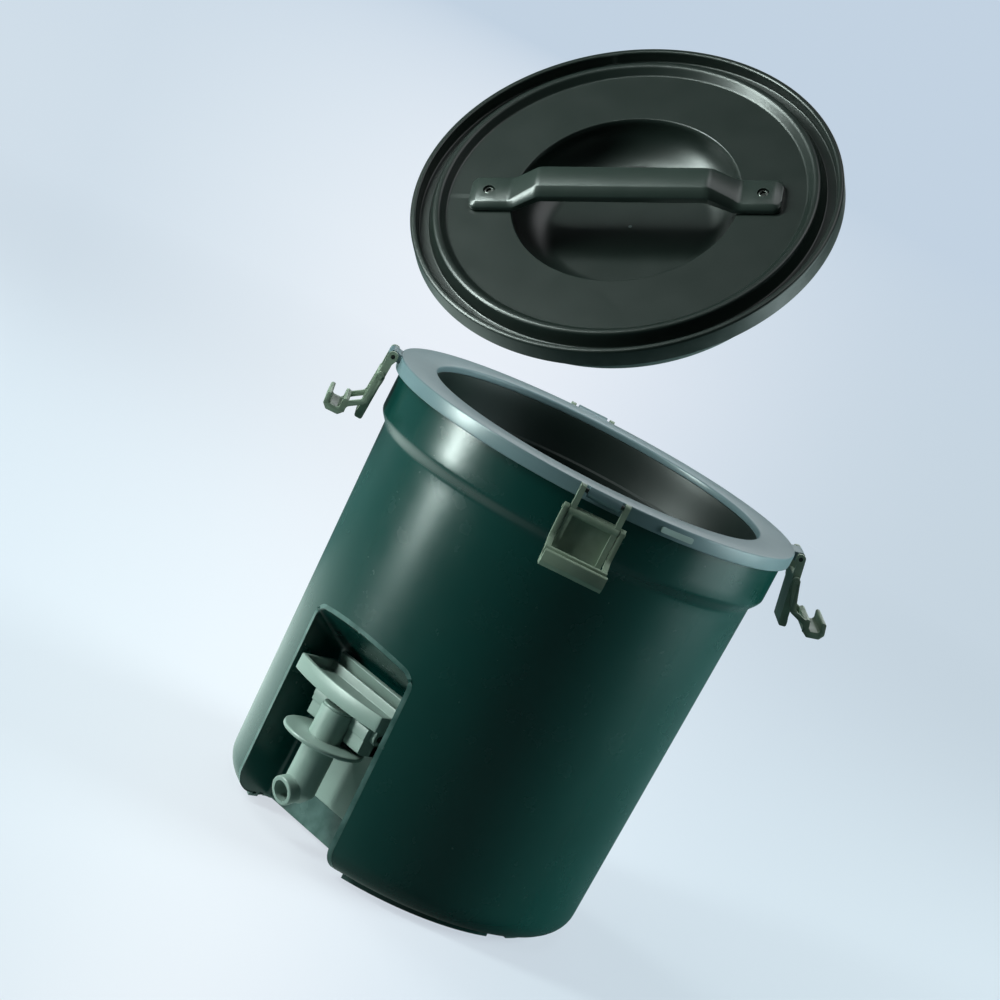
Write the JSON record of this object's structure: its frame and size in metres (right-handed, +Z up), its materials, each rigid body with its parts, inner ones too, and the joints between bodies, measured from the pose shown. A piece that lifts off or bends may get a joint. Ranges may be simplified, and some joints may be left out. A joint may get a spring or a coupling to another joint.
{
  "type": "insulated water jug with tap",
  "caption": "Insulated drum-shaped drinks jug with a raised lift-off lid, draw latches round the rim, and a paddle tap in a front niche.",
  "frame": {"origin": "centre of the base's centre foot, on the surface that the jug stands on", "axes": "+Z up along the jug's axis, -Y towards the tap, +X to the right of someone facing the tap"},
  "size_m": [0.294, 0.3452, 0.5777],
  "materials": {
    "body_green": "satin",
    "rim_grey": "satin",
    "lid_grey": "satin",
    "lid_plug_grey": "satin",
    "handle_grey": "satin",
    "latch_grey": "satin",
    "tap_grey": "satin",
    "vent_black": "matte",
    "seal_rubber": "matte",
    "steel": "satin",
    "insulation": "matte"
  },
  "bodies": {
    "jug": {"outer_shell": "body_green", "base_pan": "body_green", "insulation_foam": "insulation", "inner_liner": "rim_grey", "rim_ring": "rim_grey", "latch_pivot_pins": "steel", "tap_backplate": "tap_grey", "tap_body": "tap_grey", "tap_guard_ring": "tap_grey", "tap_bonnet": "tap_grey", "tap_spring": "steel", "tap_gasket": "seal_rubber", "tap_nut": "tap_grey", "tap_paddle_pin": "steel"},
    "tap_valve": {"tap_stem": "steel", "tap_seal": "seal_rubber"},
    "paddle": {"tap_paddle": "tap_grey"},
    "lid": {"lid_cover": "lid_grey", "lid_plug": "lid_plug_grey", "lid_foam": "insulation", "lid_gasket": "seal_rubber", "lid_handle": "handle_grey", "handle_screws": "steel", "lid_vent_cap": "vent_black"},
    "lever_front_right": {"latch_lever_front_right": "latch_grey", "hook_pin_front_right": "steel"},
    "hook_front_right": {"latch_hook_front_right": "latch_grey"},
    "lever_back_right": {"latch_lever_back_right": "latch_grey", "hook_pin_back_right": "steel"},
    "hook_back_right": {"latch_hook_back_right": "latch_grey"},
    "lever_back_left": {"latch_lever_back_left": "latch_grey", "hook_pin_back_left": "steel"},
    "hook_back_left": {"latch_hook_back_left": "latch_grey"},
    "lever_front_left": {"latch_lever_front_left": "latch_grey", "hook_pin_front_left": "steel"},
    "hook_front_left": {"latch_hook_front_left": "latch_grey"}
  },
  "joints": [
    {"name": "lid_lift", "type": "hinge", "parent": "jug", "child": "lid", "pos_m": [0.02473, -0.2171, 0.2783], "axis": [0.9936, 0.1132, 0], "range_deg": [-50.5, 0]},
    {"name": "lever_front_right_swing", "type": "hinge", "parent": "jug", "child": "lever_front_right", "pos_m": [0.10642, -0.10642, 0.3055], "axis": [-0.7071, -0.7071, 0], "range_deg": [-3, 87]},
    {"name": "hook_front_right_swing", "type": "hinge", "parent": "lever_front_right", "child": "hook_front_right", "pos_m": [0.10768, -0.10768, 0.29057], "axis": [0.7071, 0.7071, 0], "range_deg": [-183, 0]},
    {"name": "lever_back_right_swing", "type": "hinge", "parent": "jug", "child": "lever_back_right", "pos_m": [0.10642, 0.10642, 0.3055], "axis": [0.7071, -0.7071, 0], "range_deg": [-11, 79]},
    {"name": "hook_back_right_swing", "type": "hinge", "parent": "lever_back_right", "child": "hook_back_right", "pos_m": [0.10914, 0.10914, 0.29097], "axis": [-0.7071, 0.7071, 0], "range_deg": [-176, 0]},
    {"name": "lever_back_left_swing", "type": "hinge", "parent": "jug", "child": "lever_back_left", "pos_m": [-0.10642, 0.10642, 0.3055], "axis": [0.7071, 0.7071, 0], "range_deg": [-3, 87]},
    {"name": "hook_back_left_swing", "type": "hinge", "parent": "lever_back_left", "child": "hook_back_left", "pos_m": [-0.10768, 0.10768, 0.29057], "axis": [-0.7071, -0.7071, 0], "range_deg": [-183, 0]},
    {"name": "lever_front_left_swing", "type": "hinge", "parent": "jug", "child": "lever_front_left", "pos_m": [-0.10642, -0.10642, 0.3055], "axis": [-0.7071, 0.7071, 0], "range_deg": [-3, 87]},
    {"name": "hook_front_left_swing", "type": "hinge", "parent": "lever_front_left", "child": "hook_front_left", "pos_m": [-0.10768, -0.10768, 0.29057], "axis": [0.7071, -0.7071, 0], "range_deg": [-183, 0]},
    {"name": "tap_press", "type": "hinge", "parent": "jug", "child": "paddle", "pos_m": [0, -0.104, 0.091], "axis": [1, 0, 0], "range_deg": [0, 8], "stiffness_Nm_per_rad": 1, "springref_deg": -5.73},
    {"name": "tap_valve_slide", "type": "slide", "parent": "jug", "child": "tap_valve", "axis": [0, 0, -1], "range_m": [0, 0.0018], "deforming": ["tap_spring"]}
  ],
  "couplings": [
    {"joint": "tap_valve_slide", "follows": "tap_press", "m_per_rad": 0.0128}
  ]
}
